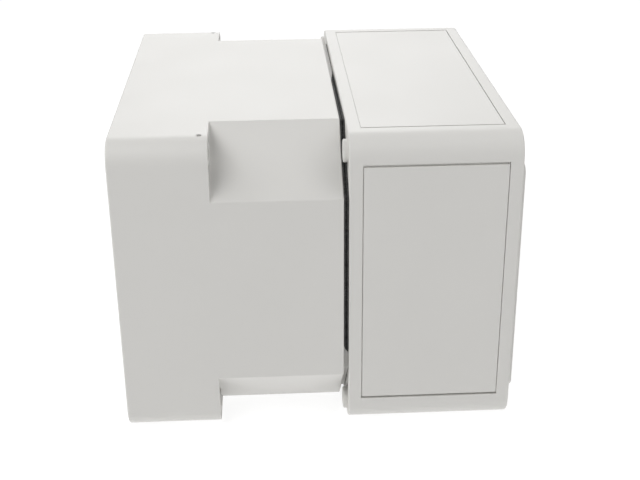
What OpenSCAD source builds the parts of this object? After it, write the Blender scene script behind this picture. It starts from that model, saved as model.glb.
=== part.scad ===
// Deep two-part plastic enclosure, lying on its side as it stands on a bench.
// The base is the wall-side shell at +X, and the hood lifts off it toward -X.
// X runs from the hood's front to the wall, Y is the long side, Z is up.

/* [Overall] */
// Long side of the enclosure, along Y
body_w = 182; // [150:1:240]
// Short side of the enclosure, along Z
body_h = 130; // [110:1:180]
// Radius of the four long outer edges
edge_r = 10; // [4:0.5:11]

/* [Hood] */
// Depth of the hood, from its front to its mouth
hood_depth = 92.4; // [70:0.1:150]
// Thickness of the hood's walls
hood_wall = 3; // [2.5:0.1:3.5]
// Length of the full corner posts at the hood's front
post_len = 39.5; // [25:0.5:60]
// Leg of the corner recess along Y
recess_leg_y = 26; // [23:0.5:32]
// Leg of the corner recess along Z
recess_leg_z = 25; // [23:0.5:32]
// Diameter of the seal-wire hole in each post
wire_hole_d = 2.2; // [1.5:0.1:3]
// Distance of the seal-wire hole from the post's inner end
wire_hole_setback = 3.4; // [2.5:0.1:10]

/* [Base] */
// Depth of the base, from its rim to its back face
base_depth = 69.1; // [55:0.1:110]
// Thickness of the base's walls
base_wall = 5; // [4.8:0.1:6]
// Thickness of the back wall, through the plinth
back_wall = 4.5; // [3.5:0.1:7]
// Height of the raised plinth on the back face
plinth_h = 1.5; // [0.8:0.1:2.5]
// Inset of the plinth from the long ends
plinth_inset_y = 3; // [2:0.5:12]
// Inset of the plinth from the top and the bottom
plinth_inset_z = 14; // [13:0.5:25]
// Corner radius of the plinth
plinth_r = 4; // [2:0.5:8]

/* [Joint] */
// Height of the gasket, the gap between hood and base
gasket_h = 2; // [1.5:0.1:4]
// Width of the gasket
gasket_w = 2.4; // [1.8:0.1:2.6]
// Setback of the gasket's lips from the outer faces
gasket_setback = 0.4; // [0.2:0.05:0.6]
// Depth of the groove between the gasket's two lips
gasket_groove = 0.5; // [0.2:0.1:0.8]
// Reach of the locating tongue into the hood
tongue_reach = 5; // [3:0.5:12]
// Thickness of the locating tongue
tongue_t = 1.5; // [1.2:0.1:1.6]
// Clearance of the tongue to the hood's walls
tongue_clear = 0.3; // [0.2:0.05:0.5]
// Distance of the tongue's ends from the corner recesses
tongue_end = 2; // [1:0.5:10]
// Distance of the lower tongue run from the corner recesses, which leaves the lower corners open
tongue_low_end = 20; // [10:0.5:30]

/* [Bolt channels] */
// Diameter of the through bores for the wall bolts
bolt_bore_d = 5; // [4:0.1:5.5]
// Outer diameter of the tubes around the bores
bolt_tube_d = 9.3; // [8:0.1:10]
// Distance of the bolt axes from the long ends
bolt_inset_y = 9.3; // [8.5:0.1:10]
// Distance of the bolt axes from the top and the bottom
bolt_inset_z = 7.9; // [7.3:0.1:8.5]
// Height of the tubes above the base's rim
tube_proud = 1.9; // [0.5:0.1:6]
// Diameter of the bolt-head recesses in the hood's front
head_recess_d = 9.5; // [8:0.1:10]
// Depth of the bolt-head recesses
head_recess_depth = 5; // [3:0.5:10]
// Diameter of the thickened tube ends around the bolt heads
head_boss_d = 13.5; // [12.5:0.1:14]
// Thickness of the webs beside the tubes
web_t = 2; // [1.2:0.1:3]
// Thickness that the hollows beside the tubes leave on the recess wall
hollow_skin = 1; // [0.6:0.1:2]

/* [Entry plates] */
// Thickness of the entry plates
plate_t = 2; // [1.5:0.1:2.4]
// Depth of the plates' faces below the outer faces
plate_sunk = 0.05; // [0:0.05:0.6]
// Inset of the plate seats from the rim and the back face
seat_inset_x = 5.5; // [4:0.1:9]
// Inset of the top and bottom seats from the long ends
seat_inset_y = 13.3; // [12.5:0.1:30]
// Inset of the end seats from the top and the bottom, on average
seat_inset_z = 11.9; // [11:0.1:25]
// Height of the end seats above the middle of the base
seat_lift = 0.8; // [0:0.1:3]
// Gap beside a plate's long edges
side_gap = 0.22; // [0.2:0.01:1]
// How far the top plate sits toward the hood in its seat
top_slack = 0.14; // [0:0.01:0.18]
// Gap at a plate's short edges
end_gap = 0.9; // [0.4:0.05:1.5]
// Corner radius of the plates
plate_r = 2; // [1:0.1:4]
// Width of the ledge that carries a plate beside the cable window
ledge_w = 5; // [3:0.5:8]
// Length of the cable windows in the top and the bottom
window_l_long = 118; // [60:1:124]
// Length of the cable windows in the two ends
window_l_short = 70; // [50:1:76]
// Corner radius of the cable windows
window_r = 3; // [1:0.5:8]

/* [Snap hooks] */
// Width of a snap hook along the plate
hook_w = 10; // [6:0.5:16]
// Thickness of a snap hook's leg
hook_t = 1.6; // [1.2:0.1:2.4]
// Catch of a snap hook behind the ledge
hook_catch = 1; // [0.5:0.1:1.5]
// Play of a snap hook beside and behind the ledge
hook_play = 0.2; // [0.1:0.05:0.4]

/* [Board bosses] */
// Pitch of the board bosses along Y
board_pitch_y = 110; // [60:1:124]
// Pitch of the board bosses along Z
board_pitch_z = 78; // [50:1:80]
// Outer diameter of the board bosses
board_boss_d = 8; // [6:0.5:10]
// Height of the board bosses above the back wall
board_boss_h = 8; // [5:0.5:15]
// Diameter of the pilot holes in the board bosses
board_pilot_d = 3.2; // [2.5:0.1:4]
// Depth of the pilot holes
board_pilot_depth = 7; // [4:0.5:9]

/* [Hidden] */
$fn = 64;

// Overreach of a cut past the faces it opens
cut = 1;
mid_z = body_h / 2;

// Stations along X, from the hood's front to the plinth's face
x_front = -(hood_depth + gasket_h + base_depth + plinth_h) / 2;
x_post = x_front + post_len;
x_mouth = x_front + hood_depth;
x_rim = x_mouth + gasket_h;
x_back = x_rim + base_depth;
x_plinth = x_back + plinth_h;
x_floor = x_plinth - back_wall;

// Offset of the recess plane for a wall of unit thickness, as a share of its legs
leg_shrink = 1 / recess_leg_y + 1 / recess_leg_z - sqrt(1 / pow(recess_leg_y, 2) + 1 / pow(recess_leg_z, 2));

// Entry plates: seat, plate and cable window
seat_x = (x_rim + x_back) / 2;
seat_w = base_depth - 2 * seat_inset_x;
seat_depth = plate_sunk + plate_t;
seat_l_long = body_w - 2 * seat_inset_y;
seat_l_short = body_h - 2 * seat_inset_z;
window_w = seat_w - 2 * ledge_w;
ledge_t = base_wall - seat_depth;

// Each side: turn about X, reach from the middle, shift along the plate, seat length, window length, slack
SIDE_TOP = [0, body_h / 2, 0, seat_l_long, window_l_long, top_slack];
SIDE_BOTTOM = [180, body_h / 2, 0, seat_l_long, window_l_long, 0];
SIDE_LEFT = [-90, body_w / 2, -seat_lift, seat_l_short, window_l_short, 0];
SIDE_RIGHT = [90, body_w / 2, seat_lift, seat_l_short, window_l_short, 0];
SIDES = [SIDE_TOP, SIDE_BOTTOM, SIDE_LEFT, SIDE_RIGHT];

// Signs of the four corners, across Y and Z
CORNERS = [for (side_y = [-1, 1], side_z = [-1, 1]) [side_y, side_z]];

// Corners of the eight-sided section, at an even inset from its outer faces
function octagon_points(inset) =
    let (
        half_y = body_w / 2 - inset,
        half_z = body_h / 2 - inset,
        leg_y = recess_leg_y * (1 - inset * leg_shrink),
        leg_z = recess_leg_z * (1 - inset * leg_shrink)
    )
    [
        [half_y, leg_z - half_z], [half_y, half_z - leg_z],
        [half_y - leg_y, half_z], [leg_y - half_y, half_z],
        [-half_y, half_z - leg_z], [-half_y, leg_z - half_z],
        [leg_y - half_y, -half_z], [half_y - leg_y, -half_z]
    ];

// Stands a section on the X axis and draws it from one station to another
module span_x(from, to) {
    translate([from, 0, mid_z])
        rotate([90, 0, 90])
            linear_extrude(to - from)
                children();
}

// Section with eight sides, at an inset from its outer faces
module octagon(inset) {
    polygon(octagon_points(inset));
}

// Rectangle with round corners, centred
module rounded_rect(size_x, size_y, radius) {
    square([size_x - 2 * radius, size_y], center = true);
    square([size_x, size_y - 2 * radius], center = true);
    for (side_x = [-1, 1], side_y = [-1, 1])
        translate([side_x * (size_x / 2 - radius), side_y * (size_y / 2 - radius)])
            circle(radius);
}

// Full outer section with its four round edges
module outer_section() {
    rounded_rect(body_w, body_h, edge_r);
}

// Places a section at each of the four bolt axes
module at_bolts() {
    for (corner = CORNERS)
        translate([corner[0] * (body_w / 2 - bolt_inset_y), corner[1] * (body_h / 2 - bolt_inset_z)])
            children();
}

// Hollows beside the bolt tubes: the corner triangles behind a wall, less tube and web
module corner_hollows(wall) {
    leg_y = recess_leg_y - hollow_skin;
    leg_z = recess_leg_z - hollow_skin;
    reach_y = leg_y * (1 - wall / leg_z);
    reach_z = leg_z * (1 - wall / leg_y);
    difference() {
        for (corner = CORNERS)
            translate([corner[0] * body_w / 2, corner[1] * body_h / 2])
                polygon([
                    [-corner[0] * wall, -corner[1] * wall],
                    [-corner[0] * reach_y, -corner[1] * wall],
                    [-corner[0] * wall, -corner[1] * reach_z]
                ]);
        at_bolts()
            circle(d = bolt_tube_d);
        for (corner = CORNERS)
            translate([corner[0] * (body_w / 2 - bolt_inset_y), corner[1] * (body_h / 2 - bolt_inset_z)])
                rotate(corner[0] * corner[1] * 45)
                    square([recess_leg_y, web_t], center = true);
    }
}

// Puts a shape on one side of the base, with its own Z pointing outward from the face
module on_side(side) {
    translate([seat_x, 0, mid_z])
        rotate([side[0], 0, 0])
            translate([0, side[2], side[1]])
                children();
}

// Seat and cable window of one side, as the cut that makes them
module entry_cut(side) {
    on_side(side) {
        translate([0, 0, -seat_depth])
            linear_extrude(seat_depth + cut)
                square([seat_w, side[3]], center = true);
        translate([0, -side[2], -base_wall - cut])
            linear_extrude(base_wall + cut)
                rounded_rect(window_w, side[4], window_r);
    }
}

// Snap hook that passes the window's edge and catches behind the ledge
module snap_hook() {
    tip = ledge_t + hook_play + 2 * hook_catch;
    rotate([90, 0, 0])
        linear_extrude(hook_w, center = true)
            polygon([
                [-hook_t, 0],
                [0, 0],
                [0, -ledge_t - hook_play],
                [hook_catch + hook_play, -ledge_t - hook_play],
                [0, -tip],
                [-hook_t, -tip]
            ]);
}

// Flush plate with four hooks, for one side
module entry_plate(side) {
    plate_w = seat_w - 2 * side_gap;
    plate_l = side[3] - 2 * end_gap;
    color("gainsboro")
        on_side(side) {
            translate([-side[5], 0, -seat_depth])
                linear_extrude(plate_t)
                    rounded_rect(plate_w, plate_l, plate_r);
            for (edge = [0, 1], row = [-1, 1])
                translate([0, row * side[4] / 4 - side[2], -seat_depth])
                    mirror([edge, 0, 0])
                        translate([window_w / 2 - hook_play, 0, 0])
                            snap_hook();
        }
}

module entry_plate_top() {
    entry_plate(SIDE_TOP);
}

module entry_plate_bottom() {
    entry_plate(SIDE_BOTTOM);
}

module entry_plate_left() {
    entry_plate(SIDE_LEFT);
}

module entry_plate_right() {
    entry_plate(SIDE_RIGHT);
}

// Deep cover: eight-sided shell with a full corner post at each front corner
module hood() {
    color("lightgray")
        difference() {
            union() {
                span_x(x_front, x_post)
                    outer_section();
                span_x(x_front, x_mouth)
                    octagon(0);
            }
            span_x(x_front + hood_wall, x_mouth + cut)
                octagon(hood_wall);
            difference() {
                span_x(x_front + hood_wall, x_post + cut)
                    corner_hollows(hood_wall);
                span_x(x_front, x_front + head_recess_depth + hood_wall)
                    at_bolts()
                        circle(d = head_boss_d);
            }
            span_x(x_front - cut, x_post + cut)
                at_bolts()
                    circle(d = bolt_bore_d);
            span_x(x_front - cut, x_front + head_recess_depth)
                at_bolts()
                    circle(d = head_recess_d);
            for (corner = CORNERS)
                translate([
                    x_post - wire_hole_setback,
                    corner[0] * (body_w / 2 - bolt_inset_y),
                    mid_z + corner[1] * (body_h / 2 - bolt_inset_z)
                ])
                    rotate([corner[1] > 0 ? 0 : 180, 0, 0])
                        cylinder(h = bolt_inset_z + cut, d = wire_hole_d);
        }
}

// Wall-side shell: plinth, bolt tubes, locating tongue, board bosses and four entry seats
module base() {
    color("lightgray")
        difference() {
            union() {
                difference() {
                    span_x(x_rim, x_back)
                        outer_section();
                    span_x(x_rim - cut, x_floor)
                        octagon(base_wall);
                    span_x(x_rim - cut, x_floor)
                        corner_hollows(base_wall);
                }
                span_x(x_back, x_plinth)
                    rounded_rect(body_w - 2 * plinth_inset_y, body_h - 2 * plinth_inset_z, plinth_r);
                span_x(x_rim - tube_proud, x_rim)
                    at_bolts()
                        circle(d = bolt_tube_d);
                span_x(x_mouth - tongue_reach, x_rim)
                    tongue_runs();
                span_x(x_floor - board_boss_h, x_floor)
                    board_pattern()
                        circle(d = board_boss_d);
            }
            span_x(x_rim - tube_proud - cut, x_back + cut)
                at_bolts()
                    circle(d = bolt_bore_d);
            span_x(x_floor - board_boss_h - cut, x_floor - board_boss_h + board_pilot_depth)
                board_pattern()
                    circle(d = board_pilot_d);
            for (side = SIDES)
                entry_cut(side);
        }
}

// Section of the locating tongue: one straight run on each side, open at the corners
module tongue_runs() {
    setback = hood_wall + tongue_clear + tongue_t / 2;
    flat_y = body_w - 2 * recess_leg_y;
    flat_z = body_h - 2 * recess_leg_z;
    translate([0, body_h / 2 - setback])
        square([flat_y - 2 * tongue_end, tongue_t], center = true);
    translate([0, setback - body_h / 2])
        square([flat_y - 2 * tongue_low_end, tongue_t], center = true);
    for (side = [-1, 1])
        translate([side * (body_w / 2 - setback), 0])
            square([tongue_t, flat_z - 2 * tongue_end], center = true);
}

// Places a section at each of the four board bosses
module board_pattern() {
    for (corner = CORNERS)
        translate([corner[0] * board_pitch_y / 2, corner[1] * board_pitch_z / 2])
            children();
}

// Soft seal ring with two lips on its outer side
module gasket() {
    lip_h = gasket_h * 0.375;
    color("dimgray")
        difference() {
            span_x(x_mouth, x_rim)
                octagon(gasket_setback);
            span_x(x_mouth - cut, x_rim + cut)
                octagon(gasket_setback + gasket_w);
            span_x(x_mouth + lip_h, x_rim - lip_h)
                difference() {
                    octagon(-cut);
                    octagon(gasket_setback + gasket_groove);
                }
        }
}

hood();
base();
gasket();
entry_plate_top();
entry_plate_bottom();
entry_plate_left();
entry_plate_right();
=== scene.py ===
"""Studio scene of a deep two-part plastic enclosure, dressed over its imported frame."""
import logging
import math
from contextlib import contextmanager
from dataclasses import dataclass
from enum import Enum
from typing import Callable, ClassVar, Iterator, Sequence

import bpy
from mathutils import Matrix, Vector, noise


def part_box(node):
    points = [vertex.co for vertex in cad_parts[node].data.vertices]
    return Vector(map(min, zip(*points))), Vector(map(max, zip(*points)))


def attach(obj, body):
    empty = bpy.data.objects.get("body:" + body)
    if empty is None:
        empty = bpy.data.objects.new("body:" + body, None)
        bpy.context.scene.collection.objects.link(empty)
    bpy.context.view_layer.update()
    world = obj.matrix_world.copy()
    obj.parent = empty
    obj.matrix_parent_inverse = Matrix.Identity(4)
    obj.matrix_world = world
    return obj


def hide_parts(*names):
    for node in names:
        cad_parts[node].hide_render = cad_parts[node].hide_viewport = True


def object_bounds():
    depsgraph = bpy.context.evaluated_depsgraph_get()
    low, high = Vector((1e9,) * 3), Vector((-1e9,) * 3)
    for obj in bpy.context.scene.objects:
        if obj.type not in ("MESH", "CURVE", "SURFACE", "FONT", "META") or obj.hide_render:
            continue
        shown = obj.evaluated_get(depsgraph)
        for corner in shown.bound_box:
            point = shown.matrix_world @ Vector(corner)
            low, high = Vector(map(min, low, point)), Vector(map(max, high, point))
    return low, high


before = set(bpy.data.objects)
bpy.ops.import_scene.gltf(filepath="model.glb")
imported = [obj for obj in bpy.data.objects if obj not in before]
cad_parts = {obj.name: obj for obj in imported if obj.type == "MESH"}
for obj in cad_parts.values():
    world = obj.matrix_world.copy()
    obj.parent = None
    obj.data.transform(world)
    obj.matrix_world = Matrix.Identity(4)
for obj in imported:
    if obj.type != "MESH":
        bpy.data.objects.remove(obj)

CAD_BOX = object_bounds()
MM = 0.001
# Least cosine between a face's normal and a way that it faces.
FACING = 0.999
# Least cosine between an edge and an axis that it runs along, and the most across one.
ALONG = 0.99
ACROSS = 0.01

log = logging.getLogger("enclosure")

Colour = tuple[float, float, float]
EdgePick = Callable[[Vector, Vector], bool]


class Body(Enum):
    """Rigid bodies of the enclosure."""

    BASE = "base_body"
    HOOD = "hood_body"


class Slot(Enum):
    """Material slots of the record."""

    HOOD = "hood_shell"
    BASE = "base_shell"
    PLATE = "entry_plate"
    SEAL = "seal"


class Axis(Enum):
    """Axes along which the entry plates are long."""

    Y = 1
    Z = 2


@dataclass(frozen=True)
class Section:
    """Outer section of the enclosure across X, shared by hood, base and gasket.

    Args:
        half_y: Half of the long side, in metres.
        half_z: Half of the short side.
        edge_r: Radius of the long outer edges.
        leg_y: Leg of the hood's corner recess along Y.
        leg_z: Leg of the hood's corner recess along Z.
    """

    half_y: float
    half_z: float
    edge_r: float
    leg_y: float
    leg_z: float

    def depth(self, point: Vector) -> float:
        """Distance of a point below the full outer skin, positive inside.

        Args:
            point: A point in the part's frame.

        Returns:
            The distance across X to the rounded outer section.
        """
        over_y = abs(point.y) - (self.half_y - self.edge_r)
        over_z = abs(point.z - self.half_z) - (self.half_z - self.edge_r)
        outside = math.hypot(max(over_y, 0.0), max(over_z, 0.0))
        return self.edge_r - outside - min(max(over_y, over_z), 0.0)

    def side_depths(self, point: Vector) -> list[tuple[float, Vector]]:
        """Distances below the sides of the recessed section, with the way inward.

        Args:
            point: A point in the part's frame.

        Returns:
            Distance and inward direction for the nearest Y side, Z side and recess plane.
        """
        sign_y = math.copysign(1.0, point.y)
        sign_z = math.copysign(1.0, point.z - self.half_z)
        to_y = self.half_y - abs(point.y)
        to_z = self.half_z - abs(point.z - self.half_z)
        slope = Vector((0.0, sign_y / self.leg_y, sign_z / self.leg_z))
        to_recess = (to_y / self.leg_y + to_z / self.leg_z - 1.0) / slope.length
        return [
            (to_y, Vector((0.0, -sign_y, 0.0))),
            (to_z, Vector((0.0, 0.0, -sign_z))),
            (to_recess, -slope.normalized()),
        ]

    def recess_ends(self, sign_y: float, sign_z: float, depth: float) -> tuple[Vector, Vector]:
        """Gives the two ends of a corner's recess plane, moved inward.

        Args:
            sign_y: Side of the corner along Y.
            sign_z: Side of the corner along Z.
            depth: How far inward.

        Returns:
            The end on the Y side and the end on the Z side, at X = 0.
        """
        share = 1.0 + depth * math.hypot(1.0 / self.leg_y, 1.0 / self.leg_z)
        on_y = (depth, self.leg_z * (share - depth / self.leg_y))
        on_z = (self.leg_y * (share - depth / self.leg_z), depth)
        ends = []
        for to_y, to_z in (on_y, on_z):
            place_z = self.half_z + sign_z * (self.half_z - to_z)
            ends.append(Vector((0.0, sign_y * (self.half_y - to_y), place_z)))
        return ends[0], ends[1]

    def recess_depth(self, point: Vector) -> float:
        """Distance of a point below the section with its corners recessed."""
        return min(depth for depth, _ in self.side_depths(point))

    def inward(self, point: Vector, blend: float) -> Vector:
        """Way inward from the recessed section, turned evenly at its corners.

        Args:
            point: A point in the part's frame.
            blend: Distance over which two sides share a corner.

        Returns:
            The unit direction.
        """
        sides = self.side_depths(point)
        least = min(depth for depth, _ in sides)
        way = Vector((0.0, 0.0, 0.0))
        for depth, inward in sides:
            way += inward * math.exp((least - depth) / blend)
        return way.normalized()


class NodeBench:
    """The node tree of a material or a world, with short calls to add and join nodes.

    Most of a noise's values lie between NOISE_LOW and NOISE_HIGH.
    """

    NOISE_LOW: ClassVar[float] = 0.3
    NOISE_HIGH: ClassVar[float] = 0.7

    def __init__(self, owner: bpy.types.Material | bpy.types.World, output: str) -> None:
        """Starts an empty node tree.

        Args:
            owner: The material or world that the nodes belong to.
            output: Blender's name of the output node's type.
        """
        owner.use_nodes = True
        self.owner = owner
        self.tree = owner.node_tree
        self.tree.nodes.clear()
        self.output = self.add(output)

    @classmethod
    def for_material(cls, name: str) -> "NodeBench":
        """Starts an empty node material of the given name."""
        return cls(bpy.data.materials.new(name), "ShaderNodeOutputMaterial")

    def add(self, kind: str, **settings: object) -> bpy.types.Node:
        """Adds a node and sets its properties and inputs.

        Args:
            kind: Blender's name of the node type.
            **settings: Node properties, or input names with spaces as underscores.

        Returns:
            The new node.
        """
        node = self.tree.nodes.new(kind)
        for key, value in settings.items():
            if hasattr(node, key):
                setattr(node, key, value)
            else:
                node.inputs[key.replace("_", " ")].default_value = value
        return node

    def join(self, source: bpy.types.NodeSocket, target: bpy.types.NodeSocket) -> None:
        """Joins an output to an input."""
        self.tree.links.new(source, target)

    def noise(
        self, grain: float, detail: float, coords: bpy.types.NodeSocket
    ) -> bpy.types.NodeSocket:
        """Adds noise of one grain size on the piece's own coordinates.

        Args:
            grain: Size of the grains, in metres.
            detail: Number of finer octaves.
            coords: The coordinates that the noise reads.

        Returns:
            The noise's value output.
        """
        texture = self.add("ShaderNodeTexNoise", Scale=1.0 / grain, Detail=detail)
        self.join(coords, texture.inputs["Vector"])
        return texture.outputs["Fac"]

    def spread(self, value: bpy.types.NodeSocket, low: float, high: float) -> bpy.types.NodeSocket:
        """Maps a noise value around its middle to a range.

        Args:
            value: A value output from 0 to 1.
            low: Result at the noise's low side.
            high: Result at the noise's high side.

        Returns:
            The mapped output.
        """
        return self.ramp(value, (self.NOISE_LOW, self.NOISE_HIGH), (low, high))

    def ramp(
        self, value: bpy.types.NodeSocket, start: tuple[float, float], end: tuple[float, float]
    ) -> bpy.types.NodeSocket:
        """Maps one range of a value to another, and holds it there.

        Args:
            value: The value's output.
            start: Range of the value.
            end: Range of the result.

        Returns:
            The mapped output.
        """
        span = self.add(
            "ShaderNodeMapRange",
            From_Min=start[0],
            From_Max=start[1],
            To_Min=end[0],
            To_Max=end[1],
        )
        self.join(value, span.inputs["Value"])
        return span.outputs["Result"]

    def blend(
        self, share: bpy.types.NodeSocket, tone: Colour, other: Colour
    ) -> bpy.types.NodeSocket:
        """Blends two colours.

        Args:
            share: Output that is 0 for the first colour and 1 for the other.
            tone: The first colour.
            other: The other colour.

        Returns:
            The blended colour's output.
        """
        mix = self.add("ShaderNodeMix", data_type="RGBA")
        mix.inputs["A"].default_value = (*tone, 1.0)
        mix.inputs["B"].default_value = (*other, 1.0)
        self.join(share, mix.inputs["Factor"])
        return mix.outputs["Result"]

    def surface(
        self, shader: bpy.types.Node, height: bpy.types.NodeSocket, distance: float
    ) -> None:
        """Gives a shader its bump and sends it to the output.

        Args:
            shader: The shader's node.
            height: Output of the bump's height.
            distance: Height of the bump, in metres.
        """
        bump = self.add("ShaderNodeBump", Strength=1.0, Distance=distance)
        self.join(height, bump.inputs["Height"])
        self.join(bump.outputs["Normal"], shader.inputs["Normal"])
        self.join(shader.outputs["BSDF"], self.output.inputs["Surface"])

    def seen(self) -> bpy.types.NodeSocket:
        """Tells rays that show a surface from rays that light other surfaces.

        Returns:
            An output that is 1 for the camera's rays and for those in gloss and glass.
        """
        path = self.add("ShaderNodeLightPath")
        share = path.outputs["Is Camera Ray"]
        for kind in ("Is Glossy Ray", "Is Transmission Ray"):
            either = self.add("ShaderNodeMath", operation="MAXIMUM")
            self.join(share, either.inputs[0])
            self.join(path.outputs[kind], either.inputs[1])
            share = either.outputs["Value"]
        return share

    def choose(
        self, share: bpy.types.NodeSocket, plain: bpy.types.NodeSocket, other: bpy.types.NodeSocket
    ) -> None:
        """Sends one of two shaders to the output.

        Args:
            share: Output that is 0 for the plain shader and 1 for the other.
            plain: The plain shader's output.
            other: The other shader's output.
        """
        mix = self.add("ShaderNodeMixShader")
        self.join(share, mix.inputs["Fac"])
        self.join(plain, mix.inputs[1])
        self.join(other, mix.inputs[2])
        self.join(mix.outputs["Shader"], self.output.inputs["Surface"])


@dataclass(frozen=True)
class MouldedPlastic:
    """Matt moulded plastic with a fine eroded grain.

    Args:
        name: Name of the finish.
        tone: Linear colour of the plastic.
        mottle: Share by which the tone drifts over the wall.
        roughness: Lowest and highest roughness.
        grain: Size of the eroded grain, in metres.
        grain_depth: Height of the grain, in metres.
        grain_detail: Number of finer octaves in the grain.
        grain_share: Share of the mottle that follows the grain.
        drift: Size of the slow drift in tone and gloss, in metres.
        drift_detail: Number of finer octaves in the drift.
    """

    name: str
    tone: Colour
    mottle: float = 0.012
    roughness: tuple[float, float] = (0.50, 0.54)
    grain: float = 0.45 * MM
    grain_depth: float = 0.012 * MM
    grain_detail: float = 2.0
    grain_share: float = 0.4
    drift: float = 28.0 * MM
    drift_detail: float = 3.0

    def material(self) -> bpy.types.Material:
        """Builds the node material.

        Returns:
            The material.
        """
        bench = NodeBench.for_material(self.name)
        shader = bench.add("ShaderNodeBsdfPrincipled")
        coords = bench.add("ShaderNodeTexCoord").outputs["Object"]
        drift = bench.noise(self.drift, self.drift_detail, coords)
        grain = bench.noise(self.grain, self.grain_detail, coords)
        share = bench.add("ShaderNodeMath", operation="MULTIPLY_ADD")
        bench.join(grain, share.inputs[0])
        share.inputs[1].default_value = self.grain_share
        bench.join(bench.spread(drift, 0.0, 1.0 - self.grain_share), share.inputs[2])
        dark = tuple(channel * (1.0 - self.mottle) for channel in self.tone)
        light = tuple(min(channel * (1.0 + self.mottle), 1.0) for channel in self.tone)
        tone = bench.blend(share.outputs["Value"], dark, light)
        bench.join(tone, shader.inputs["Base Color"])
        bench.join(bench.spread(drift, *self.roughness), shader.inputs["Roughness"])
        bench.surface(shader, grain, self.grain_depth)
        return bench.owner


@dataclass(frozen=True)
class SealFoam:
    """Black closed-cell foam with open cells at its cut faces, and a painted highlight on patches
    of its cell walls.

    Args:
        name: Name of the finish.
        tone: Linear colour of the foam.
        cell_tone: Linear colour of the painted highlight on the cell walls, where they would catch
            the light.
        roughness: Roughness of the foam.
        cell: Size of the cells, in metres.
        cell_depth: Depth of the cells, in metres.
        wall: Share of a cell's size that its wall takes up.
        patch: Size of the patches in which the cell walls carry the painted highlight, in metres.
        patch_detail: Number of finer octaves in the patches.
    """

    name: str
    tone: Colour
    cell_tone: Colour
    roughness: float = 0.82
    cell: float = 0.55 * MM
    cell_depth: float = 0.16 * MM
    wall: float = 0.22
    patch: float = 2.2 * MM
    patch_detail: float = 2.0

    def material(self) -> bpy.types.Material:
        """Builds the node material.

        Returns:
            The material.
        """
        bench = NodeBench.for_material(self.name)
        shader = bench.add("ShaderNodeBsdfPrincipled", Roughness=self.roughness)
        coords = bench.add("ShaderNodeTexCoord").outputs["Object"]
        cells = bench.add(
            "ShaderNodeTexVoronoi", Scale=1.0 / self.cell, feature="DISTANCE_TO_EDGE"
        )
        bench.join(coords, cells.inputs["Vector"])
        walls = bench.ramp(cells.outputs["Distance"], (0.0, self.wall), (1.0, 0.0))
        patches = bench.spread(bench.noise(self.patch, self.patch_detail, coords), 0.0, 1.0)
        # The cell walls, in patches, take the lighter cell tone: a painted highlight.
        share = bench.add("ShaderNodeMath", operation="MULTIPLY")
        bench.join(walls, share.inputs[0])
        bench.join(patches, share.inputs[1])
        tone = bench.blend(share.outputs["Value"], self.tone, self.cell_tone)
        bench.join(tone, shader.inputs["Base Color"])
        bench.surface(shader, walls, self.cell_depth)
        return bench.owner


@dataclass(frozen=True)
class StudioPaper:
    """Pale translucent floor of a light table: it keeps the shadow and glows from below.

    Args:
        name: Name of the finish.
        tone: Linear grey level of the floor, where it lights the enclosure.
        glow: Level of the light that comes through it there.
        seen_tone: Linear grey level of the floor, where it is seen.
        seen_glow: Level of the light that comes through it there, round the enclosure.
        white_from: Distance from the middle at which the seen glow starts to rise, in metres.
        white_at: Distance at which it is white.
        fibre: Size of its faint clouds, in metres.
        fibre_detail: Number of finer octaves in the clouds.
        cloudiness: Share by which the clouds are darker.
    """

    name: str
    tone: float
    glow: float
    seen_tone: float
    seen_glow: float
    white_from: float = 0.35
    white_at: float = 1.1
    fibre: float = 0.05
    fibre_detail: float = 2.0
    cloudiness: float = 0.01

    def material(self) -> bpy.types.Material:
        """Builds the node material.

        Returns:
            The material.
        """
        bench = NodeBench.for_material(self.name)
        coords = bench.add("ShaderNodeTexCoord").outputs["Object"]
        lighting = self.layer(bench, coords, self.tone, self.glow)
        shown = self.layer(bench, coords, self.seen_tone, self.seen_glow)
        away = bench.add("ShaderNodeVectorMath", operation="LENGTH")
        bench.join(coords, away.inputs["Vector"])
        rise = bench.ramp(away.outputs["Value"], (self.white_from, self.white_at), (0.0, 1.0))
        white = bench.add("ShaderNodeEmission", Strength=1.0)
        far = bench.add("ShaderNodeMixShader")
        bench.join(rise, far.inputs["Fac"])
        bench.join(shown, far.inputs[1])
        bench.join(white.outputs["Emission"], far.inputs[2])
        bench.choose(bench.seen(), lighting, far.outputs["Shader"])
        return bench.owner

    def layer(
        self, bench: NodeBench, coords: bpy.types.NodeSocket, tone: float, glow: float
    ) -> bpy.types.NodeSocket:
        """Adds one mix of matt paper and glow.

        Args:
            bench: The floor's node tree.
            coords: The floor's own coordinates.
            tone: Linear grey level of the paper.
            glow: Level of the light that comes through it.

        Returns:
            The shader's output.
        """
        matt = bench.add("ShaderNodeBsdfDiffuse")
        light = bench.add("ShaderNodeEmission", Strength=glow)
        both = bench.add("ShaderNodeAddShader")
        clouds = bench.noise(self.fibre, self.fibre_detail, coords)
        grey = bench.spread(clouds, (1.0 - self.cloudiness) * tone, tone)
        bench.join(grey, matt.inputs["Color"])
        bench.join(matt.outputs["BSDF"], both.inputs[0])
        bench.join(light.outputs["Emission"], both.inputs[1])
        return both.outputs["Shader"]


@dataclass(frozen=True)
class EdgeRound:
    """One pass of edge rounding on a moulded piece.

    Args:
        width: Width of the rounding, in metres.
        picks: Says from an edge's middle and direction whether it is rounded.
        segments: Number of faces across the rounding.
    """

    width: float
    picks: EdgePick
    segments: int = 3


@contextmanager
def editing() -> Iterator[None]:
    """Keeps the active piece in edit mode while the lines inside run.

    Yields:
        Nothing: the lines inside run once.
    """
    bpy.ops.object.mode_set(mode="EDIT")
    yield
    bpy.ops.object.mode_set(mode="OBJECT")


def along_x(direction: Vector) -> bool:
    """Says whether an edge runs along X."""
    return abs(direction.x) > ALONG


def across_x(direction: Vector) -> bool:
    """Says whether an edge lies in a plane across X."""
    return abs(direction.x) < ACROSS


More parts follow.
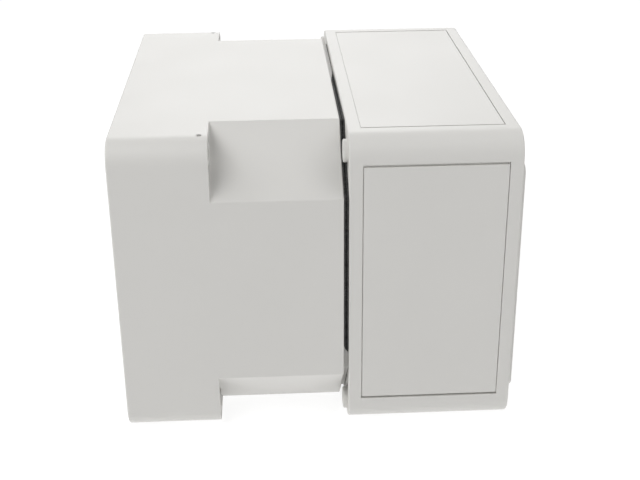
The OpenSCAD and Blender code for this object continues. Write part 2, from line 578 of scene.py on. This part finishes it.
def ease(share: float) -> float:
    """Eases a share in and out, held between 0 and 1."""
    held = min(max(share, 0.0), 1.0)
    return held * held * (3.0 - 2.0 * held)


@dataclass
class MouldedPiece:
    """A moulded piece: the CAD solid's copy with its edges rounded and its finish on.

    Args:
        node: CAD node that the piece stands for.
        body: Body that carries it.
        slot: Material slot of the record; not used.
        finish: Node material of the piece.
        rounds: Passes of edge rounding, in order.

    WELD is the distance within which points are one. Faces within FLAT of each other are one,
    edges sharper than SHARP are rounded, and those blunter than SMOOTH are shaded smooth.
    FACE_WEIGHT is how much large faces count in the shading.
    """

    node: str
    body: Body
    slot: Slot
    finish: bpy.types.Material
    rounds: Sequence[EdgeRound]

    WELD: ClassVar[float] = 0.002 * MM
    FLAT: ClassVar[float] = math.radians(0.2)
    SHARP: ClassVar[float] = math.radians(25.0)
    SMOOTH: ClassVar[float] = math.radians(38.0)
    FACE_WEIGHT: ClassVar[int] = 100

    def build(self) -> bpy.types.Object:
        """Makes the piece, dresses it and puts it on its body.

        Returns:
            The finished object.
        """
        piece = self.copy_solid()
        self.shape(piece)
        self.shade(piece)
        piece.data.materials.clear()
        piece.data.materials.append(self.finish)
        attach(piece, self.body.value)
        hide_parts(self.node)
        log.info("%s: %d faces on %s", piece.name, len(piece.data.polygons), self.body.value)
        return piece

    def copy_solid(self) -> bpy.types.Object:
        """Copies the CAD solid and welds its triangles into whole faces.

        Returns:
            The copy, selected and active.
        """
        bpy.ops.object.select_all(action="DESELECT")
        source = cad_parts[self.node]
        piece = bpy.data.objects.new(self.node + "_moulded", source.data.copy())
        bpy.context.scene.collection.objects.link(piece)
        piece.select_set(True)
        bpy.context.view_layer.objects.active = piece
        with editing():
            bpy.ops.mesh.select_all(action="SELECT")
            bpy.ops.mesh.customdata_custom_splitnormals_clear()
            bpy.ops.mesh.remove_doubles(threshold=self.WELD)
            bpy.ops.mesh.mark_sharp(clear=True)
            bpy.ops.mesh.dissolve_limited(angle_limit=self.FLAT)
        return piece

    def shape(self, piece: bpy.types.Object) -> None:
        """Rounds the piece's edges, pass by pass, and welds points that fell together.

        Args:
            piece: The active piece.
        """
        for edge_round in self.rounds:
            self.round_edges(piece, edge_round)
        with editing():
            bpy.ops.mesh.select_all(action="SELECT")
            bpy.ops.mesh.remove_doubles(threshold=self.WELD)

    def round_edges(self, piece: bpy.types.Object, edge_round: EdgeRound) -> None:
        """Rounds the sharp edges that one pass picks.

        Args:
            piece: The active piece.
            edge_round: Which edges, and how far.
        """
        with editing():
            bpy.ops.mesh.select_mode(type="EDGE")
            bpy.ops.mesh.select_all(action="DESELECT")
            bpy.ops.mesh.edges_select_sharp(sharpness=self.SHARP)
        mesh = piece.data
        picked = 0
        for edge in mesh.edges:
            ends = [mesh.vertices[index].co for index in edge.vertices]
            run = ends[1] - ends[0]
            wanted = edge.select and edge_round.picks((ends[0] + ends[1]) / 2, run.normalized())
            edge.select = wanted
            picked += wanted
        for face in mesh.polygons:
            face.select = False
        for vertex in mesh.vertices:
            vertex.select = False
        log.info("%s: %d edges rounded by %.2f mm", piece.name, picked, edge_round.width / MM)
        if not picked:
            return
        with editing():
            bpy.ops.mesh.bevel(
                offset=edge_round.width,
                segments=edge_round.segments,
                affect="EDGES",
                clamp_overlap=False,
            )

    def shade(self, piece: bpy.types.Object) -> None:
        """Smooths the roundings and keeps the flat faces flat.

        Args:
            piece: The active piece.
        """
        bpy.ops.object.shade_smooth_by_angle(angle=self.SMOOTH)
        bpy.ops.object.modifier_add(type="WEIGHTED_NORMAL")
        weighting = piece.modifiers[-1]
        weighting.keep_sharp = True
        weighting.weight = self.FACE_WEIGHT
        bpy.ops.object.modifier_apply(modifier=weighting.name)


@dataclass
class FoamGasket(MouldedPiece):
    """The foam gasket: a full ring with two stretches that have sunk flat on the rim.

    One stretch is the far half of the top, the other the lower corner nearest the camera.

    Args:
        section: Outer section that the gasket follows.
        rim: Station of the base's rim along X, on which the foam lies.
        inner: Depth of the ring's inner face below the outer faces.
        setback: Depth of its lips below the outer faces.
        side_length: Length from which an edge is one side of the ring.
        cuts: Number of cuts along each side.
        corner_blend: Way round a corner over which its two sides share it.
        groove_floor: Depth of the groove's floor below the lips.
        groove_near: Nearness that counts as lying on that floor.
        groove: Further depth of the groove between the lips.
        lip_height: Height above the rim up to which the foam belongs to its lip on the rim.
        full_top: Way along the top, from the near side, over which the foam is full.
        fade_top: Way along the top over which it sinks.
        lead: How much sooner its lip on the rim is drawn in.
        end_top: Place along Y at which it is full again behind the top.
        full_front: Way down the near side, from the top, over which it is full.
        fade_front: Way down the near side over which it sinks.
        end_bottom: Place along Y at which it is full again along the bottom.
        rise: Way along Y over which it gets full again.
        sunk: Share of its height that a sunk stretch keeps.
        draw: How far the lips of a sunk stretch are drawn in.
        front_draw: How far the lips are drawn in on the near side.
        ripple: Unevenness of the lips.
        ripple_size: Length of the unevenness.
    """

    section: Section
    rim: float
    inner: float = 2.8 * MM
    setback: float = 0.4 * MM
    side_length: float = 8.0 * MM
    cuts: int = 34
    corner_blend: float = 0.3 * MM
    groove_floor: float = 0.5 * MM
    groove_near: float = 0.1 * MM
    groove: float = 0.5 * MM
    lip_height: float = 1.8 * MM
    full_top: float = 80.0 * MM
    fade_top: float = 26.0 * MM
    lead: float = 55.0 * MM
    end_top: float = 82.0 * MM
    full_front: float = 92.5 * MM
    fade_front: float = 2.5 * MM
    end_bottom: float = -35.0 * MM
    rise: float = 12.0 * MM
    sunk: float = 0.06
    draw: float = 2.25 * MM
    front_draw: float = 0.5 * MM
    ripple: float = 0.10 * MM
    ripple_size: float = 3.5 * MM

    def shape(self, piece: bpy.types.Object) -> None:
        """Divides the ring along its run, sinks part of it and draws its lips in unevenly.

        Args:
            piece: The active piece.
        """
        super().shape(piece)
        with editing():
            bpy.ops.mesh.select_mode(type="EDGE")
            bpy.ops.mesh.select_all(action="DESELECT")
        mesh = piece.data
        for edge in mesh.edges:
            ends = [mesh.vertices[index].co for index in edge.vertices]
            edge.select = (ends[1] - ends[0]).length > self.side_length
        with editing():
            bpy.ops.mesh.subdivide(number_cuts=self.cuts)
        for vertex in mesh.vertices:
            place = vertex.co.copy()
            vertex.co.x = self.rim - self.height(place)
            vertex.co += self.section.inward(place, self.corner_blend) * self.drawn(place)
        mesh.update()

    def settled(self, point: Vector, on_rim: float = 0.0) -> float:
        """Says how far the foam has sunk at a point, from 0 (full) to 1 (flat on the rim).

        Args:
            point: A point in the part's frame.
            on_rim: Share, from 0 to 1, that it belongs to the lip on the rim, which leads.

        Returns:
            The eased share.
        """
        if point.z > self.section.half_z:
            along = point.y + self.section.half_y - self.full_top
            lead = self.lead * on_rim
            sinks = ease((along + lead) / (self.fade_top * (1.0 - on_rim) + lead))
            return sinks * ease((self.end_top - point.y) / self.rise)
        along = 2 * self.section.half_z - point.z - self.full_front
        return ease(along / self.fade_front) * ease((self.end_bottom - point.y) / self.rise)

    def height(self, point: Vector) -> float:
        """Says how high above the rim a point of the foam stands.

        Args:
            point: A point in the part's frame.

        Returns:
            The height, in metres.
        """
        return (self.rim - point.x) * (1.0 - self.settled(point) * (1.0 - self.sunk))

    def drawn(self, point: Vector) -> float:
        """Says how far a point of the foam is drawn in: most at the lips, none at the inner face.

        Args:
            point: A point in the part's frame.

        Returns:
            The distance inward, in metres.
        """
        depth = self.section.recess_depth(point)
        share = (self.inner - depth) / (self.inner - self.setback)
        on_rim = ease(1.0 - (self.rim - point.x) / self.lip_height)
        settled = self.settled(point, on_rim)
        below = (2 * self.section.half_z - self.section.leg_z - point.z) / self.section.edge_r
        near_side = ease(below) if point.y < 0.0 else 0.0
        lips = max(self.draw * settled, self.front_draw * near_side)
        uneven = noise.noise(point / self.ripple_size) * self.ripple
        in_groove = abs(depth - self.setback - self.groove_floor) < self.groove_near
        return share * (lips + uneven + self.groove * in_groove * (1.0 - settled))


@dataclass
class EntryPlate(MouldedPiece):
    """A flush entry plate with nearly square corners.

    Args:
        long_axis: Axis along which the plate is long.
        mould_r: Radius of the solid's corners.
        corner_r: Radius to which they are drawn out.
    """

    long_axis: Axis
    mould_r: float = 2.0 * MM
    corner_r: float = 0.5 * MM

    def shape(self, piece: bpy.types.Object) -> None:
        """Draws the plate's corners out and rounds its edges.

        Args:
            piece: The active piece.
        """
        low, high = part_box(self.node)
        axes = (0, self.long_axis.value)
        shrink = self.corner_r / self.mould_r
        for vertex in piece.data.vertices:
            past = []
            for axis in axes:
                half = (high[axis] - low[axis]) / 2
                past.append(abs(vertex.co[axis] - low[axis] - half) - half + self.mould_r)
            if min(past) < -self.WELD:
                continue
            for axis, way in zip(axes, past):
                side = math.copysign(1.0, vertex.co[axis] - (low[axis] + high[axis]) / 2)
                vertex.co[axis] += side * (self.mould_r - way) * (1.0 - shrink)
        piece.data.update()
        super().shape(piece)


@dataclass
class EndPlate(EntryPlate):
    """An entry plate of an end of the base: a lip below its face fills the gap round its top.

    Args:
        lip_depth: Depth of the lip below the plate's face.
        lip_reach: Reach of the lip above the plate's upper edge.
        side_reach: Reach of the lip beside the plate's long edges.
        near: Nearness that counts as lying on the plate's edge.
    """

    lip_depth: float = 0.9 * MM
    lip_reach: float = 0.85 * MM
    side_reach: float = 0.17 * MM
    near: float = 0.08 * MM

    def shape(self, piece: bpy.types.Object) -> None:
        """Rounds the plate's edges and draws the lip out of its upper and long edges.

        Args:
            piece: The active piece.
        """
        super().shape(piece)
        self.cut_round(piece)
        with editing():
            bpy.ops.mesh.extrude_region_move(TRANSFORM_OT_translate={"value": (0.0, 0.0, 0.0)})
        for vertex in piece.data.vertices:
            if vertex.select:
                vertex.co = self.drawn_out(vertex.co)
        piece.data.update()

    def past_corner(self, point: Vector) -> tuple[float, float]:
        """Says how far a point lies past the middle of the nearer upper corner.

        Args:
            point: A point in the part's frame.

        Returns:
            The distances along X, outward, and along Z, upward.
        """
        low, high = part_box(self.node)
        out = abs(point.x - (low.x + high.x) / 2) - (high.x - low.x) / 2
        return out + self.corner_r, point.z - high.z + self.corner_r

    def cut_round(self, piece: bpy.types.Object) -> None:
        """Cuts the plate's edge at the lip's depth and selects what the lip grows from.

        Args:
            piece: The active piece.
        """
        low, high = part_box(self.node)
        on_left = low.y + high.y > 0.0
        cut = high.y - self.lip_depth if on_left else low.y + self.lip_depth
        with editing():
            bpy.ops.mesh.select_mode(type="FACE")
            bpy.ops.mesh.select_all(action="SELECT")
            bpy.ops.mesh.bisect(plane_co=(0.0, cut, 0.0), plane_no=(0.0, 1.0, 0.0))
            bpy.ops.mesh.select_all(action="DESELECT")
        for face in piece.data.polygons:
            out, up = self.past_corner(face.center)
            edge = math.hypot(max(out, 0.0), max(up, 0.0)) > self.corner_r - self.near
            faces_up = up > 0.0 and face.normal.z > self.near / self.corner_r
            on_side = abs(face.normal.x) > FACING
            behind = abs(face.center.y) < abs(cut)
            face.select = edge and behind and (faces_up or on_side)

    def drawn_out(self, point: Vector) -> Vector:
        """Moves a point of the plate's edge out to the lip's square outline.

        Args:
            point: A point on the plate's edge.

        Returns:
            Its place on the lip.
        """
        out, up = self.past_corner(point)
        low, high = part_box(self.node)
        outward = math.copysign(1.0, point.x - (low.x + high.x) / 2)
        if out <= self.near:
            return point + Vector((0.0, 0.0, self.lip_reach))
        if up <= self.near:
            return point + Vector((outward * self.side_reach, 0.0, 0.0))
        grow = min((self.corner_r + self.side_reach) / out, (self.corner_r + self.lip_reach) / up)
        return point + Vector((outward * out, 0.0, up)) * (grow - 1.0)


@dataclass
class TongueCorner:
    """A corner of the base's locating tongue, which carries its runs on round the recess.

    Args:
        name: Name of the piece.
        section: Outer section that the tongue follows.
        sign_y: Side of the corner along Y.
        sign_z: Side of the corner along Z.
        foot: Station of its foot along X, just inside the rim.
        edge: Station of its free edge along X.
        finish: Node material of the piece.
        outer: Depth of its outer face below the outer section, in metres.
        inner: Depth of its inner face.
        run_on: How far it runs on along each side.
        edge_round: Rounding of its free edge.
        edge_segments: Number of faces across that rounding.
        spare: Length of wall, in wall thicknesses, that the mitres cut off.
    """

    name: str
    section: Section
    sign_y: float
    sign_z: float
    foot: float
    edge: float
    finish: bpy.types.Material
    outer: float = 3.33 * MM
    inner: float = 4.77 * MM
    run_on: float = 1.2 * MM
    edge_round: float = 0.3 * MM
    edge_segments: int = 2
    spare: float = 4.0

    def build(self) -> bpy.types.Object:
        """Makes the piece and puts it on the base.

        Returns:
            The finished object.
        """
        piece = self.wall()
        outer_ends = self.section.recess_ends(self.sign_y, self.sign_z, self.outer)
        inner_ends = self.section.recess_ends(self.sign_y, self.sign_z, self.inner)
        along = (outer_ends[1] - outer_ends[0]).normalized()
        ways = (Vector((0.0, 0.0, -self.sign_z)), Vector((0.0, -self.sign_y, 0.0)))
        for end, (place, inside, way) in enumerate(zip(outer_ends, inner_ends, ways)):
            outward = along if end else -along
            mitre = (inside - place).cross(Vector((1.0, 0.0, 0.0))).normalized()
            mitre *= math.copysign(1.0, mitre.dot(outward))
            self.turn_end(piece, place, mitre, way * self.run_on)
        self.round_edge(piece)
        piece.data.materials.append(self.finish)
        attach(piece, Body.BASE.value)
        log.info("%s: %d faces on %s", piece.name, len(piece.data.polygons), Body.BASE.value)
        return piece

    def wall(self) -> bpy.types.Object:
        """Adds the wall along the recess, longer than it has to be.

        Returns:
            The wall, active and selected, with its place in its mesh.
        """
        middle_depth = (self.outer + self.inner) / 2
        ends = self.section.recess_ends(self.sign_y, self.sign_z, middle_depth)
        along = ends[1] - ends[0]
        middle = (ends[0] + ends[1]) / 2
        middle.x = (self.foot + self.edge) / 2
        thickness = self.inner - self.outer
        length = along.length + self.spare * thickness
        bpy.ops.object.select_all(action="DESELECT")
        bpy.ops.mesh.primitive_cube_add(
            size=1.0,
            location=middle,
            rotation=(math.atan2(along.z, along.y), 0.0, 0.0),
            scale=(self.foot - self.edge, length, thickness),
        )
        bpy.ops.object.transform_apply(location=True, rotation=True, scale=True)
        piece = bpy.context.active_object
        piece.name = self.name
        return piece

    def turn_end(
        self, piece: bpy.types.Object, place: Vector, mitre: Vector, run: Vector
    ) -> None:
        """Cuts an end off at its mitre and runs it on along the next side.

        Args:
            piece: The active piece.
            place: A point of the mitre plane.
            mitre: The mitre plane's normal, away from the wall.
            run: The way along the next side.
        """
        with editing():
            bpy.ops.mesh.select_mode(type="FACE")
            bpy.ops.mesh.select_all(action="SELECT")
            bpy.ops.mesh.bisect(plane_co=place, plane_no=mitre, use_fill=True, clear_outer=True)
            bpy.ops.mesh.select_all(action="DESELECT")
        for face in piece.data.polygons:
            face.select = face.normal.dot(mitre) > FACING
        with editing():
            bpy.ops.mesh.extrude_region_move(TRANSFORM_OT_translate={"value": run})

    def round_edge(self, piece: bpy.types.Object) -> None:
        """Rounds the free edge, by which the hood is led on.

        Args:
            piece: The active piece.
        """
        with editing():
            bpy.ops.mesh.select_all(action="SELECT")
            bpy.ops.mesh.normals_make_consistent(inside=False)
            bpy.ops.mesh.select_mode(type="FACE")
            bpy.ops.mesh.select_all(action="DESELECT")
        for face in piece.data.polygons:
            face.select = face.normal.x < -FACING
        with editing():
            bpy.ops.mesh.region_to_loop()
            bpy.ops.mesh.bevel(
                offset=self.edge_round, segments=self.edge_segments, affect="EDGES"
            )
        bpy.ops.object.shade_smooth_by_angle(angle=MouldedPiece.SMOOTH)


@dataclass
class Enclosure:
    """The whole enclosure: hood, base with its tongue, gasket and entry plates.

    Args:
        shell_finish: Material of hood, base and plates.
        seal_finish: Material of the gasket.
        edge_r: Radius of the long outer edges, in metres.
        leg_y: Leg of the hood's corner recess along Y.
        leg_z: Leg of the hood's corner recess along Z.
        post_len: Length of the hood's corner posts.
        plinth_h: Height of the plinth on the base's back.
        tube_proud: Height of the tube ends above the base's rim.
        gap: Gap between hood and base.
        tongue_reach: Reach of the base's tongue into the hood.
        front_round: Rounding of the hood's front edge and the base's back edge.
        post_round: Rounding of the posts' inner ends and the recess.
        mouth_round: Rounding of the hood's mouth.
        rim_round: Rounding of the base's rim.
        tube_round: Rounding of the tube ends and the plinth.
        end_seat_round: Rounding of the plate seats in the two ends.
        broad_seat_round: Rounding of the plate seats in the top and the bottom.
        end_plate_round: Rounding of the plates in the two ends.
        broad_plate_round: Rounding of the plates in the top and the bottom.
        lip_round: Rounding of the gasket's lips.
        lip_depth: Depth below the outer faces above which the gasket's edges are its lips'.
        seat_margin: Distance from rim and back within which there is no seat.
        near: Nearness that counts as lying on a face.
    """

    shell_finish: bpy.types.Material
    seal_finish: bpy.types.Material
    edge_r: float = 10.0 * MM
    leg_y: float = 26.0 * MM
    leg_z: float = 25.0 * MM
    post_len: float = 39.5 * MM
    plinth_h: float = 1.5 * MM
    tube_proud: float = 1.9 * MM
    gap: float = 2.0 * MM
    tongue_reach: float = 5.0 * MM
    front_round: float = 0.8 * MM
    post_round: float = 0.35 * MM
    mouth_round: float = 0.65 * MM
    rim_round: float = 0.7 * MM
    tube_round: float = 0.5 * MM
    end_seat_round: float = 0.3 * MM
    broad_seat_round: float = 0.1 * MM
    end_plate_round: float = 0.2 * MM
    broad_plate_round: float = 0.1 * MM
    lip_round: float = 0.3 * MM
    lip_depth: float = 0.5 * MM
    seat_margin: float = 2.0 * MM
    near: float = 0.08 * MM

    def __post_init__(self) -> None:
        """Takes the stations along X and the outer section from the solids' boxes."""
        hood_low, hood_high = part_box("hood")
        base_low, base_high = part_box("base")
        self.x_front: float = hood_low.x
        self.x_post: float = hood_low.x + self.post_len
        self.x_mouth: float = hood_high.x
        self.x_rim: float = hood_high.x + self.gap
        self.x_tube: float = self.x_rim - self.tube_proud
        self.x_back: float = base_high.x - self.plinth_h
        self.x_plinth: float = base_high.x
        self.section = Section(
            half_y=(base_high.y - base_low.y) / 2,
            half_z=(base_high.z - base_low.z) / 2,
            edge_r=self.edge_r,
            leg_y=self.leg_y,
            leg_z=self.leg_z,
        )

    def build(self) -> list[bpy.types.Object]:
        """Builds every piece.

        Returns:
            The finished objects.
        """
        shells = [self.hood(), self.base(), *self.tongue_corners()]
        return [*shells, self.gasket(), *self.plates()]

    def at_x(self, point: Vector, station: float) -> bool:
        """Says whether a point lies at a station along X."""
        return abs(point.x - station) < self.near

    def on_skin(self, point: Vector) -> bool:
        """Says whether a point lies on the full outer skin."""
        return abs(self.section.depth(point)) < self.near

    def on_recess(self, point: Vector) -> bool:
        """Says whether a point lies on the recessed section."""
        return abs(self.section.recess_depth(point)) < self.near

    def on_broad_side(self, point: Vector) -> bool:
        """Says whether a point lies on the top or the bottom."""
        middle_z = self.section.half_z
        return abs(abs(point.z - middle_z) - middle_z) < 2 * self.near

    def hood(self) -> bpy.types.Object:
        """Builds the hood with its front, posts, recesses and mouth rounded.

        Returns:
            The hood.
        """
        def on_front(middle: Vector, run: Vector) -> bool:
            """Picks the edge round the front."""
            return self.at_x(middle, self.x_front) and across_x(run)

        def on_mouth(middle: Vector, run: Vector) -> bool:
            """Picks the outer edge of the mouth."""
            at_mouth = self.at_x(middle, self.x_mouth) and across_x(run)
            return at_mouth and self.on_recess(middle)

        def on_recess_edges(middle: Vector, run: Vector) -> bool:
            """Picks the outer edges of the recesses and of the posts' inner ends.

            Args:
                middle: The edge's middle.
                run: The edge's direction.

            Returns:
                Whether the edge is rounded.
            """
            if along_x(run):
                return middle.x > self.x_post + self.near and self.on_skin(middle)
            return self.at_x(middle, self.x_post) and self.on_skin(middle)

        rounds = (
            EdgeRound(self.front_round, on_front),
            EdgeRound(self.mouth_round, on_mouth),
            EdgeRound(self.post_round, on_recess_edges),
        )
        return MouldedPiece("hood", Body.HOOD, Slot.HOOD, self.shell_finish, rounds).build()

    def base(self) -> bpy.types.Object:
        """Builds the base with its rim, tube ends, back, plinth and seats rounded.

        Returns:
            The base.
        """
        def on_rim(middle: Vector, run: Vector) -> bool:
            """Picks the outer edge of the rim."""
            return self.at_x(middle, self.x_rim) and across_x(run) and self.on_skin(middle)

        def on_tubes(middle: Vector, run: Vector) -> bool:
            """Picks the part of the tube ends' edges that stands in the recesses."""
            at_tube = self.at_x(middle, self.x_tube) and across_x(run)
            return at_tube and self.section.recess_depth(middle) < self.near

        def on_back(middle: Vector, run: Vector) -> bool:
            """Picks the edge round the back."""
            return self.at_x(middle, self.x_back) and across_x(run) and self.on_skin(middle)

        def on_plinth(middle: Vector, run: Vector) -> bool:
            """Picks the edges of the plinth's face."""
            return self.at_x(middle, self.x_plinth) and across_x(run)

        def on_seats(middle: Vector) -> bool:
            """Says whether a point lies on the outer edges of the seats."""
            first, last = self.x_rim + self.seat_margin, self.x_back - self.seat_margin
            return first < middle.x < last and self.on_skin(middle)

        def on_end_seats(middle: Vector, run: Vector) -> bool:
            """Picks the outer edges of the seats in the two ends."""
            return on_seats(middle) and not self.on_broad_side(middle)

        def on_broad_seats(middle: Vector, run: Vector) -> bool:
            """Picks the outer edges of the seats in the top and the bottom."""
            return on_seats(middle) and self.on_broad_side(middle)

        rounds = (
            EdgeRound(self.rim_round, on_rim, segments=4),
            EdgeRound(self.tube_round, on_tubes),
            EdgeRound(self.front_round, on_back),
            EdgeRound(self.tube_round, on_plinth),
            EdgeRound(self.end_seat_round, on_end_seats, segments=2),
            EdgeRound(self.broad_seat_round, on_broad_seats, segments=2),
        )
        return MouldedPiece("base", Body.BASE, Slot.BASE, self.shell_finish, rounds).build()

    def tongue_corners(self) -> list[bpy.types.Object]:
        """Builds the four corners of the tongue.

        Returns:
            The corners.
        """
        corners = []
        for side, sign_y in (("right", -1.0), ("left", 1.0)):
            for level, sign_z in (("bottom", -1.0), ("top", 1.0)):
                corner = TongueCorner(
                    name="tongue_corner_%s_%s" % (side, level),
                    section=self.section,
                    sign_y=sign_y,
                    sign_z=sign_z,
                    foot=self.x_rim + self.near,
                    edge=self.x_mouth - self.tongue_reach,
                    finish=self.shell_finish,
                )
                corners.append(corner.build())
        return corners

    def gasket(self) -> bpy.types.Object:
        """Builds the foam gasket with its lips rounded.

        Returns:
            The gasket.
        """
        def on_lips(middle: Vector, run: Vector) -> bool:
            """Picks the edges of the lips."""
            return across_x(run) and self.section.recess_depth(middle) < self.lip_depth

        ring = FoamGasket(
            "gasket",
            Body.BASE,
            Slot.SEAL,
            self.seal_finish,
            (EdgeRound(self.lip_round, on_lips, segments=2),),
            section=self.section,
            rim=self.x_rim,
        )
        return ring.build()

    def plates(self) -> list[bpy.types.Object]:
        """Builds the four entry plates with their outer edges rounded.

        Returns:
            The plates.
        """
        def on_face(middle: Vector, run: Vector) -> bool:
            """Picks the edges of a plate's outer face."""
            return abs(self.section.depth(middle)) < 2 * self.near

        broad = (EdgeRound(self.broad_plate_round, on_face, segments=2),)
        end = (EdgeRound(self.end_plate_round, on_face, segments=2),)
        kinds = {
            "top": (EntryPlate, Axis.Y, broad),
            "bottom": (EntryPlate, Axis.Y, broad),
            "left": (EndPlate, Axis.Z, end),
            "right": (EndPlate, Axis.Z, end),
        }
        pieces = []
        for side, (kind, axis, rounds) in kinds.items():
            plate = kind(
                "entry_plate_" + side,
                Body.BASE,
                Slot.PLATE,
                self.shell_finish,
                rounds,
                long_axis=axis,
            )
            pieces.append(plate.build())
        return pieces


@dataclass(frozen=True)
class PhotoCamera:
    """Camera at the photograph's viewing angle.

    Args:
        place: Position in the part's frame, in metres.
        pitch: Angle below the horizon, in degrees.
        yaw: Turn from +Y toward +X, in degrees.
        roll: Turn about the view axis, in degrees.
        focal_px: Focal length in pixels of the image.
        image_w: Width of the image, in pixels.
        sensor_w: Width of the sensor, in millimetres.
        clip_start: Distance from which the camera sees, in metres.
    """

    place: tuple[float, float, float] = (-0.0198, -0.5021, 0.2744)
    pitch: float = 24.389
    yaw: float = 2.785
    roll: float = -0.493
    focal_px: float = 1128.8
    image_w: float = 640.0
    sensor_w: float = 36.0
    clip_start: float = 0.01

    def build(self) -> bpy.types.Object:
        """Makes the scene's camera.

        Returns:
            The camera.
        """
        data = bpy.data.cameras.new("photo_camera")
        data.sensor_fit = "HORIZONTAL"
        data.sensor_width = self.sensor_w
        data.lens = self.focal_px / self.image_w * self.sensor_w
        data.clip_start = self.clip_start
        camera = bpy.data.objects.new("photo_camera", data)
        pitch, yaw, roll = (math.radians(angle) for angle in (self.pitch, self.yaw, self.roll))
        flat = math.cos(pitch)
        view = Vector((math.sin(yaw) * flat, math.cos(yaw) * flat, -math.sin(pitch)))
        level = Vector((math.cos(yaw), -math.sin(yaw), 0.0))
        upright = level.cross(view)
        right = level * math.cos(roll) + upright * math.sin(roll)
        up = upright * math.cos(roll) - level * math.sin(roll)
        turn = Matrix((right, up, -view)).transposed()
        camera.matrix_world = Matrix.Translation(self.place) @ turn.to_4x4()
        bpy.context.scene.collection.objects.link(camera)
        bpy.context.scene.camera = camera
        return camera


@dataclass(frozen=True)
class Softbox:
    """One soft studio lamp that faces the enclosure.

    Args:
        name: Name of the lamp.
        turn: Direction in degrees, from behind (0) by the right (90) to the camera's side (180).
        height: Angle above the horizon, in degrees.
        size: Edge of its square face, in metres.
        power: Power, in watts.
        reach: Distance from the enclosure's middle, in metres.
    """

    name: str
    turn: float
    height: float
    size: float
    power: float
    reach: float = 1.5

    def build(self) -> bpy.types.Object:
        """Makes the lamp.

        Returns:
            The lamp.
        """
        data = bpy.data.lights.new(self.name, type="AREA")
        data.shape = "SQUARE"
        data.size = self.size
        data.energy = self.power
        turn, height = math.radians(self.turn), math.radians(self.height)
        level = math.cos(height)
        away = Vector((math.sin(turn) * level, math.cos(turn) * level, math.sin(height)))
        middle = (CAD_BOX[0] + CAD_BOX[1]) / 2
        lamp = bpy.data.objects.new(self.name, data)
        lamp.location = middle + away * self.reach
        lamp.rotation_euler = (-away).to_track_quat("-Z", "Y").to_euler()
        bpy.context.scene.collection.objects.link(lamp)
        return lamp


@dataclass
class Studio:
    """Pale floor, soft lamps, even surround and the camera.

    Args:
        paper: Finish of the floor.
        lamps: The softboxes.
        floor_size: Edge of the floor, in metres.
        surround: Level of the even light from all round.
    """

    paper: StudioPaper
    lamps: Sequence[Softbox]
    floor_size: float = 12.0
    surround: float = 0.03

    def build(self) -> None:
        """Makes the whole studio."""
        self.lay_floor()
        self.light_surround()
        for lamp in self.lamps:
            lamp.build()
        PhotoCamera().build()
        bpy.context.scene.view_settings.view_transform = "Standard"

    def lay_floor(self) -> None:
        """Lays the floor under the enclosure."""
        bpy.ops.object.select_all(action="DESELECT")
        ground = (0.0, 0.0, CAD_BOX[0][2])
        bpy.ops.mesh.primitive_plane_add(size=self.floor_size, location=ground)
        floor = bpy.context.active_object
        floor.name = "studio_floor"
        floor.data.materials.append(self.paper.material())

    def light_surround(self) -> None:
        """Lights the scene faintly from all round, white where the surround is seen."""
        world = bpy.data.worlds.new("studio_surround")
        bpy.context.scene.world = world
        bench = NodeBench(world, "ShaderNodeOutputWorld")
        white = (1.0, 1.0, 1.0, 1.0)
        even = bench.add("ShaderNodeBackground", Color=white, Strength=self.surround)
        shown = bench.add("ShaderNodeBackground", Color=white, Strength=1.0)
        bench.choose(bench.seen(), even.outputs["Background"], shown.outputs["Background"])


def main() -> None:
    """Builds the enclosure and its studio."""
    logging.basicConfig(level=logging.INFO, format="%(name)s: %(message)s")
    plastic = MouldedPlastic("light_grey_plastic", tone=(0.703, 0.694, 0.669)).material()
    # The foam's cell tone is a painted highlight on its cell walls.
    foam = SealFoam(
        "black_seal_foam", tone=(0.018, 0.018, 0.018), cell_tone=(0.11, 0.11, 0.107)
    ).material()
    Enclosure(shell_finish=plastic, seal_finish=foam).build()
    lamps = (
        Softbox("back_softbox", turn=0.0, height=30.0, size=0.8, power=6.0),
        Softbox("left_softbox", turn=-90.0, height=40.0, size=0.9, power=6.0),
        Softbox("front_left_softbox", turn=-135.0, height=50.0, size=0.9, power=9.5),
        Softbox("front_right_softbox", turn=115.0, height=30.0, size=0.9, power=4.6),
        Softbox("right_softbox", turn=90.0, height=60.0, size=0.9, power=5.0),
    )
    paper = StudioPaper("studio_paper", tone=0.5, glow=0.65, seen_tone=0.32, seen_glow=0.82)
    Studio(paper=paper, lamps=lamps).build()


if __name__ == "__main__":
    main()
